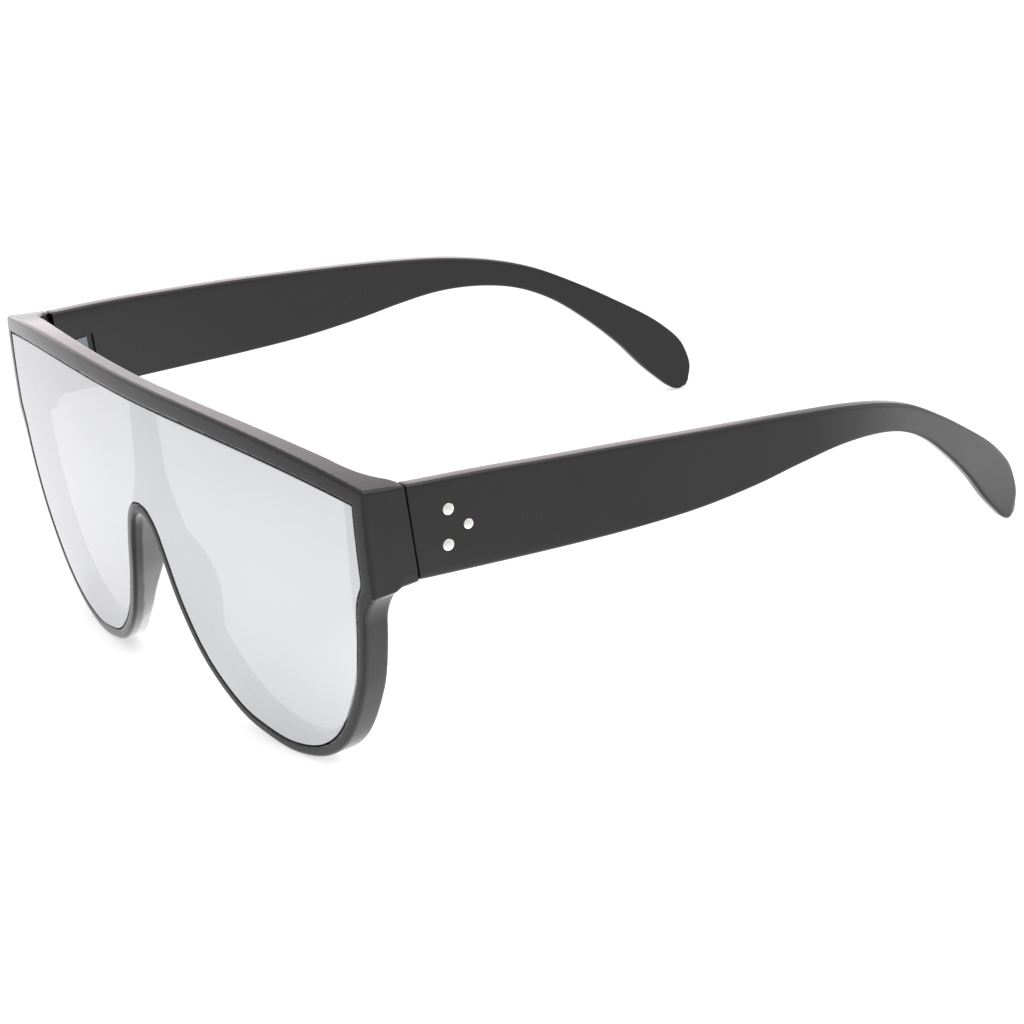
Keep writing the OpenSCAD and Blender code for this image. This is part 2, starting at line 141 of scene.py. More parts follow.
def fade(value, none, full):
    """A share that goes straight from 0, where the value is none, to 1, where it is full."""
    return np.clip((value - none) / (full - none), 0, 1)


def outside_of(across, along, outline):
    """Signed distance from the points (across, along) to a closed outline, below zero inside it:
    the least distance to any of its straight pieces, with the sign from how often a level line
    crosses the outline. It goes through the points in lots, to keep the tables small."""
    across, along = np.broadcast_arrays(across, along)
    points = np.stack([across.ravel(), along.ravel()], 1)
    a, b = outline, np.roll(outline, -1, axis=0)
    e = b - a
    found = np.empty(len(points))
    lot = 2000
    for start in range(0, len(points), lot):
        part = points[start : start + lot]
        wx = part[:, :1] - a[:, 0]
        wy = part[:, 1:] - a[:, 1]
        t = np.clip((wx * e[:, 0] + wy * e[:, 1]) / (e**2).sum(1), 0, 1)
        nearest = ((wx - t * e[:, 0]) ** 2 + (wy - t * e[:, 1]) ** 2).min(1)
        spans = (a[:, 1] > part[:, 1:]) != (b[:, 1] > part[:, 1:])
        with np.errstate(divide="ignore", invalid="ignore"):
            left_of = wx < wy * e[:, 0] / e[:, 1]
        inside = (spans & left_of).sum(1) % 2 == 1
        found[start : start + lot] = np.where(inside, -1, 1) * np.sqrt(nearest)
    return found.reshape(across.shape)


def meet(solids, radius):
    """What several solids share, its edges rounded to radius: where more than one of the
    distances is within radius of zero, the root of the sum of their squares takes over."""
    solids = np.broadcast_arrays(*solids)
    deepest = np.max(solids, axis=0)
    near = np.sqrt(sum(np.maximum(s + radius, 0) ** 2 for s in solids))
    return np.minimum(deepest, -radius) + near


def join(one, other, radius):
    """Two solids as one, with a fillet of radius in the corner between them, which is the rounded
    meeting turned inside out."""
    near = np.sqrt(np.maximum(radius - one, 0) ** 2 + np.maximum(radius - other, 0) ** 2)
    return np.maximum(np.minimum(one, other), radius) - near


side_line = across_lens(lens_shares, np.linspace(0, 15, 121))
top_x = np.linspace(-12, lens_half_w, 28)
half_lens = np.concatenate([
    np.stack([top_x, lens_top_z(top_x)], 1), side_line, side_line[-2:-14:-1] * (-1, 1),
])
eye_line = across_lens(eye_shares, np.linspace(0, 18, 109))
eye_top_x = np.linspace(eye_line[-1, 0], eye_line[0, 0], 24)
eye_loop = np.concatenate([
    eye_line, np.stack([eye_top_x, lens_top_z(eye_top_x) - ledge_w], 1),
])

brow_back_y = face_y(0.0, front_h) + brow_depth


def brow_y(x):
    """The brow's back face, an arc of radius brow_back_r."""
    return brow_back_y + brow_back_r - np.sqrt(brow_back_r**2 - x**2)


# The brow's back, from above: that arc, then a quadratic turn into the endpiece
turn_x, turn_bulge, turn_rise = 0.8 * half_w, 5.6, 1.2
turn_t = np.linspace(0, 1, 25)[:, None]
back_x = np.linspace(-12, turn_x, 40)[:-1]
back_plan = np.concatenate([
    np.stack([back_x, brow_y(back_x)], 1),
    (1 - turn_t) ** 2 * (turn_x, brow_y(turn_x))
    + 2 * turn_t * (1 - turn_t) * (half_w - turn_bulge, brow_y(turn_x) + turn_rise)
    + turn_t**2 * (joint_inner_x, joint_y),
    [(joint_inner_x, joint_y + 9), (half_w + 9, joint_y + 9), (half_w + 9, front_y - 9)],
    [(-12, front_y - 9)],
])

# The pads follow the lens's nose edge, splay towards the back and have this outline from the side
pad_depth, pad_t, pad_splay, pad_fillet, nose_x = 8.0, 2.8, math.radians(16), 1.2, 26
pad_shares = np.array([
    (0.12, 0.55), (0.26, 0.6), (0.38, 0.7), (0.48, 0.85), (0.58, 0.98), (0.68, 1),
    (0.8, 0.86), (0.92, 0.62), (1.02, 0.45),
])
arch_z = lens_low + 0.638 * lens_h
pad_reach = through(pad_shares, np.linspace(0, 8, 49))
pad_profile = np.concatenate([
    np.stack([front_y + pad_reach[:, 1] * pad_depth, pad_reach[:, 0] * arch_z], 1),
    [(front_y + rim_w / 2, 1.02 * arch_z), (front_y + rim_w / 2, 0.12 * arch_z)],
])


roll_in, roll_w = 0.1, 1.8


def rolled(depth, off_lens):
    """Depth below the front's face, which rolls gently inwards by roll_in beside the lens."""
    return depth - roll_in * fade(off_lens, roll_w, 0) ** 2


def front_solid(x, y, z):
    """Signed distance, in millimetres, to the front moulding. The rim is the lens outline moved
    out by rim_w, less by the nose as it gets deeper, and it widens to a leaning plane under the
    endpiece. It is cut at the rim's depth, but for the pads, which go on behind it inside their
    side outline. The brow lies under its sloping top and before its back plan. Both are joined
    and cut by the face's ball, and then the lens seat and the eye openings are cut out."""
    x = np.abs(x)
    depth = face_depth(x, y, z)
    off_lens = outside_of(x, z, half_lens)
    by_nose = fade(x, nose_x, nose_x - 8) * fade(z, arch_z - 2, arch_z - 7)
    receding = by_nose * math.tan(pad_splay) * np.maximum(depth - rim_w, 0)
    near_pad = (x < nose_x) & (z < arch_z + 3) & (y < front_y + pad_depth + 2)
    within = pad_t - rim_w + off_lens + receding
    pad_y, pad_z, within = (a[near_pad] for a in np.broadcast_arrays(y, z, within))
    pad = np.full(near_pad.shape, 9.0)
    pad[near_pad] = meet([-within, outside_of(pad_y, pad_z, pad_profile)], rim_edge_r)
    plane = (x - half_w) * math.cos(foot_lean) - (z - endpiece_low) * math.sin(foot_lean)
    foot = np.maximum(plane, np.maximum(foot_x - x, z - foot_top))
    wall = join(off_lens - rim_w + receding, foot, foot_fillet)
    rim = meet([wall, join(depth - rim_depth, pad, pad_fillet)], rim_edge_r)
    edge_z = brow_z(x)
    over_top = (z - edge_z) * math.cos(brow_slope) + (y - face_y(x, edge_z)) * math.sin(brow_slope)
    behind = meet([outside_of(x, y, back_plan), y - joint_y], joint_corner_r)
    brow = meet([over_top, behind], brow_edge_r)
    brow = meet([brow, x - half_w], 0.2 + 0.5 * fade(y, joint_y, joint_y - 3))
    brow = meet([brow, endpiece_low + np.clip(50 - x, 0, 10) - z], 0.3)
    body = join(rim, brow, 0.35 + 0.75 * fade(x, 64, 67) * fade(z, 43, 40))
    body = meet([body, x - half_w], 0.25 * fade(z, endpiece_low + 1.5, endpiece_low))
    body = meet([body, -rolled(depth, off_lens)], brow_edge_r)
    seat = np.maximum(off_lens, depth - lens_recess - lens_t - lens_bed)
    body = meet([body, -seat], seat_edge_r)
    return meet([body, -outside_of(x, z, eye_loop)], ledge_edge_r)


def slope_of(field, points, step=0.01):
    """The field's value at points and its gradient there, from one small step along each axis."""
    here = field(*points.T)
    gradient = [(field(*(points + step * np.eye(3)[k]).T) - here) / step for k in range(3)]
    return here, np.stack(gradient, 1)


def onto_surface(vertices, here, gradient, step):
    """The vertices moved along the field's gradient to where it should be zero, a step at most."""
    move = -here / np.maximum((gradient**2).sum(1), 0.25)
    return vertices + np.clip(move, -step, step)[:, None] * gradient


def seat_depths(x, y, z):
    """How deep points lie below the face, and how far they are from the lens's outline."""
    off_lens = outside_of(x, z, half_lens)
    return rolled(face_depth(x, y, z), off_lens), off_lens


def onto_seat_edge(vertices, reach):
    """The vertices, those within reach of the lens seat's front edge moved to the middle of its
    rounding, so that the edge runs as one clean line."""
    beside = np.hypot(*seat_depths(*vertices.T)) < reach
    part = vertices[beside]
    for turn in range(3):
        depth, down = slope_of(lambda *p: seat_depths(*p)[0], part)
        off, sideways = slope_of(lambda *p: seat_depths(*p)[1], part)
        part = part + (seat_edge_mid - depth)[:, None] * down
        part = part + (seat_edge_mid - off)[:, None] * sideways
    vertices = vertices.copy()
    vertices[beside] = part
    return vertices


def settled(field, vertices, quads, middle, step):
    """The vertices evened out among their neighbours and moved onto the field's zero surface,
    those of the middle plane kept in it, and the surface's outward direction at each."""
    ends = np.concatenate([quads[:, [i, (i + 1) % 4]] for i in range(4)])
    weight = np.bincount(ends[:, 0], minlength=len(vertices))
    for turn in range(3):
        mean = np.stack([
            np.bincount(ends[:, 0], vertices[ends[:, 1], k], len(vertices)) for k in range(3)
        ], 1) / weight[:, None]
        vertices = vertices + 0.5 * (mean - vertices)
        vertices[middle, 0] = 0
        if turn == 0:
            here, gradient = slope_of(field, vertices)
        else:
            here = field(*vertices.T)
        vertices = onto_surface(vertices, here, gradient, step)
        vertices[middle, 0] = 0
    vertices = onto_surface(vertices, *slope_of(field, vertices), step)
    vertices = onto_seat_edge(vertices, 0.7 * step)
    normals = slope_of(field, vertices)[1]
    vertices[middle, 0] = 0
    normals[middle, 0] = 0
    return vertices, normals


def half_skin(field, low, high, step):
    """The zero surface of a field that is even in x, for x from 0 up, as vertices and quads. Space
    is cut into cubes; each cube that the surface passes holds one vertex, at the mean of the
    surface's crossings with the cube's edges, and each crossed edge gives a quad of its four
    cubes. The vertices are then settled on the surface."""
    counts = [int((high[k] - low[k]) / step) + 2 for k in range(3)]
    axes = [low[k] + step * np.arange(counts[k]) for k in range(3)]
    axes[0] = step * (np.arange(counts[0]) - 0.5)
    value = field(axes[0][:, None, None], axes[1][None, :, None], axes[2][None, None, :])
    value[value == 0] = 1e-9
    cells = tuple(n - 1 for n in counts)
    total, crossed = np.zeros(cells + (3,)), np.zeros(cells)
    quads, edges = [], []
    for k in range(3):
        a, b = np.moveaxis(value, k, 0)[:-1], np.moveaxis(value, k, 0)[1:]
        cut = (a < 0) != (b < 0)
        share = np.where(cut, a / np.where(cut, a - b, 1), 0)
        cut, share = np.moveaxis(cut, 0, k), np.moveaxis(share, 0, k)
        one, two = [(1, 2), (2, 0), (0, 1)][k]
        for i, j in ((0, 0), (0, 1), (1, 0), (1, 1)):
            window = [slice(None)] * 3
            window[one] = slice(i, i + cells[one])
            window[two] = slice(j, j + cells[two])
            window = tuple(window)
            total[..., k] += share[window]
            total[..., one] += i * cut[window]
            total[..., two] += j * cut[window]
            crossed += cut[window]
        at = np.argwhere(cut)
        at = at[(at[:, one] > 0) & (at[:, two] > 0)]
        at = at[(at[:, one] < counts[one] - 1) & (at[:, two] < counts[two] - 1)]
        edges.append((k, one, two, at, value[tuple(at.T)] < 0))
    shown = crossed > 0
    number = np.full(cells, -1)
    number[shown] = np.arange(shown.sum())
    place = np.argwhere(shown)
    vertices = (place + total[shown] / crossed[shown][:, None]) * step
    vertices += (axes[0][0], axes[1][0], axes[2][0])
    for k, one, two, at, outward in edges:
        ring = []
        for i, j in ((-1, -1), (0, -1), (0, 0), (-1, 0)):
            cell = at.copy()
            cell[:, one] += i
            cell[:, two] += j
            ring.append(number[tuple(cell.T)])
        ring = np.stack(ring, 1)
        quads.append(np.where(outward[:, None], ring, ring[:, ::-1]))
    quads = np.concatenate(quads)
    middle = place[:, 0] == 0
    vertices, normals = settled(field, vertices, quads, middle, step)
    return vertices, quads, normals, middle


def both_halves(vertices, quads, normals, middle):
    """A half surface and its mirror image as one, sharing the vertices in the middle plane."""
    twin = np.arange(len(vertices))
    twin[~middle] = len(vertices) + np.arange((~middle).sum())
    flip = np.array((-1, 1, 1))
    return (
        np.concatenate([vertices, vertices[~middle] * flip]),
        np.concatenate([quads, twin[quads][:, ::-1]]),
        np.concatenate([normals, normals[~middle] * flip]),
    )


def new_piece(name, vertices, faces, finish, normals=None):
    """A named mesh with smooth shading, its points given in millimetres of the CAD's own frame."""
    mesh = bpy.data.meshes.new(name)
    mesh.from_pydata((np.asarray(vertices) * MM).tolist(), [], faces)
    mesh.validate()
    mesh.polygons.foreach_set("use_smooth", [True] * len(mesh.polygons))
    if normals is not None:
        length = np.maximum(np.linalg.norm(normals, axis=1), 1e-9)
        mesh.normals_split_custom_set_from_vertices((normals / length[:, None]).tolist())
    mesh.update()
    mesh.materials.append(finish)
    piece = bpy.data.objects.new(name, mesh)
    bpy.context.scene.collection.objects.link(piece)
    return piece


def add(material, kind, values=(), **settings):
    """A shader node of a material or of the world, with its settings, and its sockets' values by
    name or number. A value that is itself another node's socket is linked."""
    tree = material.node_tree
    made = tree.nodes.new("ShaderNode" + kind)
    for key, value in settings.items():
        setattr(made, key, value)
    for key, value in dict(values).items():
        if isinstance(value, bpy.types.NodeSocket):
            tree.links.new(value, made.inputs[key])
        else:
            made.inputs[key].default_value = value
    return made


def new_finish(name):
    """A new node material, its main shader's inputs, its call for links and its object
    coordinates."""
    material = bpy.data.materials.new(name)
    material.use_nodes = True
    sockets = material.node_tree.nodes["Principled BSDF"].inputs
    place = add(material, "TexCoord").outputs["Object"]
    return material, sockets, material.node_tree.links.new, place


def noise(material, place, scale, detail, roughness, **more):
    """A cloudy noise over the places, about 0.5 in the middle."""
    values = {"Vector": place, "Scale": scale, "Detail": detail, "Roughness": roughness, **more}
    return add(material, "TexNoise", values).outputs["Fac"]


def tones(material, share, start, end, dark, light):
    """A colour that goes from dark to light as the share goes from start to end."""
    ramp = add(material, "ValToRGB", {"Fac": share})
    for stop, position, colour in zip(ramp.color_ramp.elements, (start, end), (dark, light)):
        stop.position, stop.color = position, (*colour, 1)
    return ramp.outputs["Color"]


def spread(material, share, start, end, low=0.0, high=1.0, kind="LINEAR"):
    """A value that goes from low to high as the share goes from start to end."""
    values = {0: share, 1: start, 2: end, 3: low, 4: high}
    return add(material, "MapRange", values, interpolation_type=kind).outputs[0]


def bump(material, height, strength, distance, over=None):
    """A normal tilted by the slope of a height, over another bumped normal where one is given."""
    values = {"Height": height, "Strength": strength, "Distance": distance}
    if over is not None:
        values["Normal"] = over
    return add(material, "Bump", values).outputs["Normal"]


def soft_black(name, grain_turn):
    """Moulded black plastic with a soft matt face: a fine spark-eroded grain in the bump, broad
    cloudy differences in colour and gloss, and a few small dull scuffs and pale specks."""
    material, sockets, link, place = new_finish(name)
    place = add(material, "Mapping", {"Vector": place, "Rotation": grain_turn}).outputs["Vector"]
    cloud = noise(material, place, 85.0, 4.0, 0.55)
    tone = tones(material, cloud, 0.3, 0.72, (0.0050, 0.0044, 0.0041), (0.0076, 0.0068, 0.0063))
    scuff = spread(material, noise(material, place, 330.0, 3.0, 0.6), 0.70, 0.78, kind="SMOOTHSTEP")
    cells = add(material, "TexVoronoi", {"Vector": place, "Scale": 240.0, "Randomness": 1.0})
    speck = spread(material, cells.outputs["Distance"], 0.075, 0.05, kind="SMOOTHSTEP")
    for mark, colour in ((scuff, (0.016, 0.015, 0.0145, 1)), (speck, (0.020, 0.0185, 0.018, 1))):
        marked = add(material, "MixRGB", {"Fac": mark, "Color1": tone, "Color2": colour})
        tone = marked.outputs["Color"]
    link(tone, sockets["Base Color"])
    gloss = spread(material, cloud, 0.3, 0.7, 0.29, 0.36)
    duller = add(material, "Math", {0: scuff, 1: 0.10, 2: gloss}, operation="MULTIPLY_ADD")
    glance = add(material, "LayerWeight", {"Blend": 0.5})
    slick = spread(material, glance.outputs["Facing"], 0.45, 0.85, 1.0, 0.4)
    dulled = add(material, "Math", {0: duller.outputs[0], 1: slick}, operation="MULTIPLY")
    link(dulled.outputs[0], sockets["Roughness"])
    fine = bump(material, noise(material, place, 3400.0, 2.0, 0.5), 0.35, 0.00002)
    broad = bump(material, noise(material, place, 120.0, 2.0, 0.5), 0.25, 0.00015, fine)
    link(bump(material, scuff, 0.3, 0.00003, broad), sockets["Normal"])
    sockets["IOR"].default_value = 1.46
    return material


skin_step = 0.37
front_skin = both_halves(*half_skin(
    front_solid, (0, front_y - 0.8, -0.8), (half_w + 0.8, joint_y + 0.8, front_h + 0.8), skin_step,
))
front_black = soft_black("soft_black_front", (0.3, 0.5, 0.1))
front_points, front_quads, front_normals = front_skin
front = new_piece("front_moulding", front_points, front_quads.tolist(), front_black, front_normals)
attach(front, "front")
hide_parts("front_frame")

# Lens
# One wide sheet of tinted plastic, cut to the front's shape with its edge broken, then coated on
# its face with a silver mirror that lets a little of what lies behind show through.
lens_gap, lens_edge_r = 0.2, 0.16
lens_columns, lens_rows = 136, 44


def miter(loop):
    """For each point of a closed loop, the step to its left that moves both of its neighbouring
    straight pieces by one: the sum of their left normals over one plus their product."""
    run = np.roll(loop, -1, axis=0) - loop
    run /= np.maximum(np.linalg.norm(run, axis=1), 1e-9)[:, None]
    normal = np.stack([-run[:, 1], run[:, 0]], 1)
    before = np.roll(normal, 1, axis=0)
    return (normal + before) / (1 + (normal * before).sum(1))[:, None]


def lens_grid(inset, rows):
    """Columns of points from the lens's lower edge to its top edge, both moved in by inset. The
    columns stand at the lower edge's own points, so that they crowd where it is steep."""
    end, nudge, least_step = len(lens_shares) - 1, 0.01, 0.004
    places = np.linspace(0, end, lens_columns)
    line = across_lens(lens_shares, places)
    ahead = across_lens(lens_shares, np.minimum(places + nudge, end))
    run = ahead - across_lens(lens_shares, np.maximum(places - nudge, 0))
    inward = np.stack([run[:, 1], -run[:, 0]], 1) / np.linalg.norm(run, axis=1)[:, None]
    line = line + inset * inward
    line[0, 0] = lens_half_w - inset
    line[-1, 0] = 0
    least = np.minimum.accumulate(line[:, 0])
    line = line[np.concatenate([[True], line[1:, 0] < least[:-1] - least_step])]
    line = np.concatenate([line, line[-2::-1] * (-1, 1)])
    rise = lens_top_z(line[:, 0] + nudge) - lens_top_z(line[:, 0] - nudge)
    slope = rise / (2 * nudge)
    top = lens_top_z(line[:, 0]) - inset * np.sqrt(1 + slope**2)
    share = np.linspace(0, 1, rows)[None, :]
    z = line[:, 1:] + share * (top[:, None] - line[:, 1:])
    return np.repeat(line[:, :1], rows, 1), z


def on_shell(line, depth):
    """Points of the front view, put on the ball that lies depth inside the face's ball, and the
    outward direction there."""
    points = np.stack([line[:, 0], face_y(line[:, 0], line[:, 1], depth), line[:, 1]], 1)
    return points, points - (0, front_y + face_r, face_z)


grid_x, grid_z = lens_grid(lens_gap + lens_edge_r, lens_rows)
number = np.arange(grid_x.size).reshape(grid_x.shape)
edge_loop = np.concatenate([
    number[:, 0], number[-1, 1:], number[-2::-1, -1], number[0, -2:0:-1],
])
flat_grid = np.stack([grid_x.ravel(), grid_z.ravel()], 1)
loop_line = flat_grid[edge_loop]
loop_out = miter(loop_line)
lens_points, lens_normals = [], []
for turned, depth in ((1, lens_recess), (-1, lens_recess + lens_t)):
    sheet, outward = on_shell(flat_grid, depth)
    lens_points.append(sheet)
    lens_normals.append(outward * turned)
bend = np.linspace(0, math.pi / 2, 6)
edge_run = [(math.sin(a), 1 - math.cos(a), math.cos(a), math.sin(a)) for a in bend]
edge_rows = [(lens_edge_r * s, lens_recess + lens_edge_r * c, n, o) for s, c, n, o in edge_run]
edge_rows += [
    (lens_edge_r * s, lens_recess + lens_t - lens_edge_r * c, -n, o)
    for s, c, n, o in edge_run[::-1]
]
sideways = np.stack([loop_out[:, 0], 0 * loop_out[:, 0], loop_out[:, 1]], 1)
for out, depth, forwards, outwards in edge_rows:
    ring, outward = on_shell(loop_line + out * loop_out, depth)
    lens_points.append(ring)
    lens_normals.append(forwards * (outward / face_r) + outwards * sideways)
corners = (number[:-1, :-1], number[:-1, 1:], number[1:, 1:], number[1:, :-1])
quad = np.stack([corner.ravel() for corner in corners], 1)
sheet_size, loop_size = grid_x.size, len(edge_loop)
band = np.arange(loop_size)
ahead = np.roll(band, -1)
strips = np.concatenate([
    2 * sheet_size + k * loop_size
    + np.stack([band, ahead, loop_size + ahead, loop_size + band], 1)
    for k in range(len(edge_rows) - 1)
])
lens_faces = np.concatenate([quad, quad[:, ::-1] + sheet_size, strips])


def facing_out(points, faces, normals):
    """The faces, each turned where needed so that its winding agrees with its points' normals."""
    corner = points[faces]
    across = np.cross(corner[:, 2] - corner[:, 0], corner[:, 3] - corner[:, 1])
    against = (across * normals[faces].sum(1)).sum(1) < 0
    return np.where(against[:, None], faces[:, ::-1], faces)


lens_points, lens_normals = np.concatenate(lens_points), np.concatenate(lens_normals)
lens_faces = facing_out(lens_points, lens_faces, lens_normals)

mirror, sockets, link, place = new_finish("silver_mirror_face")
haze = noise(mirror, place, 22.0, 3.0, 0.5)
silver = tones(mirror, haze, 0.3, 0.7, (0.655, 0.666, 0.684), (0.679, 0.690, 0.710))
link(silver, sockets["Base Color"])
smear = noise(mirror, place, 60.0, 5.0, 0.6, Distortion=0.8)
link(spread(mirror, smear, 0.35, 0.75, 0.03, 0.09), sockets["Roughness"])
link(bump(mirror, haze, 0.15, 0.0002), sockets["Normal"])
sockets["Metallic"].default_value, sockets["Alpha"].default_value = 1.0, 0.82

smoke, sockets, link, place = new_finish("smoke_tint_back")
dust = noise(smoke, place, 140.0, 4.0, 0.6)
tint = tones(smoke, dust, 0.3, 0.75, (0.020, 0.021, 0.024), (0.032, 0.033, 0.036))
link(tint, sockets["Base Color"])
link(spread(smoke, dust, 0.3, 0.75, 0.05, 0.12), sockets["Roughness"])
sockets["Alpha"].default_value, sockets["IOR"].default_value = 0.55, 1.58

lens = new_piece("mirror_lens", lens_points, lens_faces.tolist(), mirror, lens_normals)
lens.data.materials.append(smoke)
behind = np.ones(len(lens_faces), np.int32)
behind[: len(quad)] = 0
lens.data.polygons.foreach_set("material_index", behind)
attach(lens, "front")
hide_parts("shield_lens")

# Temples
# Each side arm is one moulding of the same black plastic: a flat band that bows outwards, bends in
# before the ear and ends in a rounded hook. Its front end is slotted inside for the hinge leaf.
temple_h, temple_edge_r, bow_r, ear_r = 17.2, 0.7, 489.0, 108.0
temple_front_r, tip_bulge, tip_close = 0.35, 0.55, 0.93
rows_between, end_rows = 11, 4
joint_top = endpiece_top - endpiece_len * math.tan(brow_slope)
joint_low = joint_top - temple_h
temple_y = joint_y + joint_gap
temple_shares = np.array([
    (0, 1, 0, joint_low / joint_top, 1), (0.101, 0.97, 0.101, 0.662, 1),
    (0.202, 0.933, 0.202, 0.636, 1), (0.303, 0.895, 0.303, 0.612, 1),
    (0.404, 0.853, 0.404, 0.597, 1), (0.505, 0.81, 0.495, 0.599, 1),
    (0.586, 0.772, 0.566, 0.61, 1), (0.657, 0.733, 0.636, 0.613, 1),
    (0.727, 0.68, 0.702, 0.591, 0.98), (0.788, 0.612, 0.758, 0.546, 0.95),
    (0.849, 0.513, 0.808, 0.468, 0.9), (0.899, 0.42, 0.854, 0.358, 0.86),
    (0.944, 0.33, 0.894, 0.242, 0.83), (0.971, 0.262, 0.926, 0.128, 0.82),
    (0.988, 0.205, 0.95, 0.055, 0.82), (0.996, 0.15, 0.964, 0.018, 0.81),
    (0.999, 0.095, 0.976, 0.002, 0.79), (0.995, 0.045, 0.986, 0.008, 0.66),
])
peak_share, bend_share, tip_angle = 0.323, 0.581, math.radians(18.3)
peak_y = temple_y + peak_share * temple_len
peak_x = half_w + bow_r - math.sqrt(bow_r**2 - (peak_y - temple_y) ** 2)
bend_y = temple_y + bend_share * temple_len
bend_angle = math.asin((bend_y - peak_y) / bow_r)
ear_x = peak_x - bow_r * (1 - math.cos(bend_angle)) - ear_r * math.cos(bend_angle)
ear_y = bend_y - ear_r * math.sin(bend_angle)
tip_x, tip_y = ear_x + ear_r * math.cos(tip_angle), ear_y + ear_r * math.sin(tip_angle)


def outer_x(y):
    """The temple's outer face from above: a long arc outwards, a tighter one inwards before the
    ear, and a straight end that leaves it at tip_angle."""
    bow = peak_x - bow_r + np.sqrt(bow_r**2 - (np.minimum(y, bend_y) - peak_y) ** 2)
    ear = ear_x + np.sqrt(ear_r**2 - (np.clip(y, bend_y, tip_y) - ear_y) ** 2)
    end = tip_x - (y - tip_y) * math.tan(tip_angle)
    return np.where(y < bend_y, bow, np.where(y < tip_y, ear, end))


def rounded_rings(thick, height):
    """For each row a rectangle with round corners, as distances in from the outer face and up from
    the lower edge. The corners get tighter where the row is thin."""
    arc = np.linspace(0, math.pi / 2, 7)
    r = np.minimum(temple_edge_r, 0.33 * thick)
    near, far = 1 - np.cos(arc), 1 - np.sin(arc)
    flat = np.linspace(0, 1, 16)[1:-1]
    ring = [(r * a, height - r * b) for a, b in zip(near, far)][::-1]
    ring += [(0 * r, height - r - t * (height - 2 * r)) for t in flat]
    ring += [(r * a, r * b) for a, b in zip(near, far)]
    ring += [(thick - r * a, r * b) for a, b in zip(near[::-1], far[::-1])]
    ring += [(thick, r + t * (height - 2 * r)) for t in flat]
    ring += [(thick - r * a, height - r * b) for a, b in zip(near, far)]
    return [np.stack([point[k] for point in ring], 1) for k in (0, 1)]


def drawn_in(values, size, shrink, scale):
    """Values from 0 to size, moved towards the middle by shrink and then scaled about it."""
    middle = size / 2
    values = values + np.sign(middle - values) * np.minimum(shrink, np.abs(middle - values))
    return middle + scale * (values - middle)


def temple_skin():
    """Rows along the temple, each a closed ring that stands between the row's top and bottom
    points. The first rows are drawn in to round the end at the joint, and the last ones are scaled
    down and moved on to round the tip. The two ends close on a middle point."""
    spans = len(temple_shares) - 1
    row = through(temple_shares, np.linspace(0, spans, spans * rows_between + 1))
    top = np.stack([temple_y + row[:, 0] * temple_len, row[:, 1] * joint_top], 1)
    low = np.stack([temple_y + row[:, 2] * temple_len, row[:, 3] * joint_top], 1)
    thick = row[:, 4] * temple_t
    turn = np.linspace(0, math.pi / 2, end_rows + 1)
    first = [temple_front_r * (1 - math.sin(a)) for a in turn]
    push = np.outer([-temple_front_r * math.cos(a) + temple_front_r for a in turn], (1, 0))
    end_turn = turn[1:] * tip_close
    along = (top[-1] + low[-1] - top[-4] - low[-4]) / 2
    along = along / np.linalg.norm(along)
    top = np.concatenate([top[:1] + push, top[2:], np.repeat(top[-1:], end_rows, 0)])
    low = np.concatenate([low[:1] + push, low[2:], np.repeat(low[-1:], end_rows, 0)])
    thick = np.concatenate([
        np.repeat(thick[:1], end_rows + 1), thick[2:], np.repeat(thick[-1:], end_rows),
    ])[:, None]
    shrink = np.concatenate([first, np.zeros(len(top) - len(first))])[:, None]
    scale, on = np.ones((len(top), 1)), np.zeros((len(top), 1))
    scale[-end_rows:, 0] = np.cos(end_turn)
    on[-end_rows:, 0] = tip_bulge * np.sin(end_turn)
    height = np.linalg.norm(top - low, axis=1)[:, None]
    inward, share = rounded_rings(thick[:, 0], height[:, 0])
    inward = drawn_in(inward, thick, shrink, scale)
    share = drawn_in(share, height, shrink, scale)
    up = (top - low) / height
    y = low[:, :1] + share * up[:, :1] + on * along[0]
    z = low[:, 1:] + share * up[:, 1:] + on * along[1]
    x = outer_x(y) - (temple_t - thick) / 2 - inward
    points = np.stack([x, y, z], -1)
    n_rows, n_ring = x.shape
    middle = points[[0, -1]].mean(1)
    number = np.arange(n_rows * n_ring).reshape(n_rows, n_ring)
    after = np.roll(number, -1, axis=1)
    body = np.stack([number[:-1], after[:-1], after[1:], number[1:]], -1).reshape(-1, 4)
    tail = n_rows * n_ring
    caps = [(tail, int(after[0, k]), int(number[0, k])) for k in range(n_ring)]
    caps += [(tail + 1, int(number[-1, k]), int(after[-1, k])) for k in range(n_ring)]
    return np.concatenate([points.reshape(-1, 3), middle]), body.tolist() + caps


# The hinge slot and the three stud holes, cut out of the moulding. The slot is two blocks, a
# long one for the leaf and a shorter, deeper one round the knuckles.
pin_inset, pin_behind, stack_drop = 0.2, 1.9, 6.85
pin_x, pin_y = joint_inner_x - pin_inset, joint_y + pin_behind
knuckle_r, knuckle_stack, leaf_t = 1.4, 6.0, 0.9
slot_gap, slot_len, leaf_gap, knuckle_gap = 0.15, 8.1, 0.02, 0.25
cut_inside, cut_ahead = (2.8, 2.9), (1.0, 1.1)
stack_top = joint_top - stack_drop
stack_low = stack_top - knuckle_stack
leaf_x = pin_x + knuckle_r - leaf_t
stud_shares = ((0.0505, 0.885), (0.074, 0.818), (0.0435, 0.772))
stud_d = (2.15, 1.9, 2.15)
stud_len, stud_rise, stud_groove, groove_depth = 0.8, 0.15, 0.1, 0.45


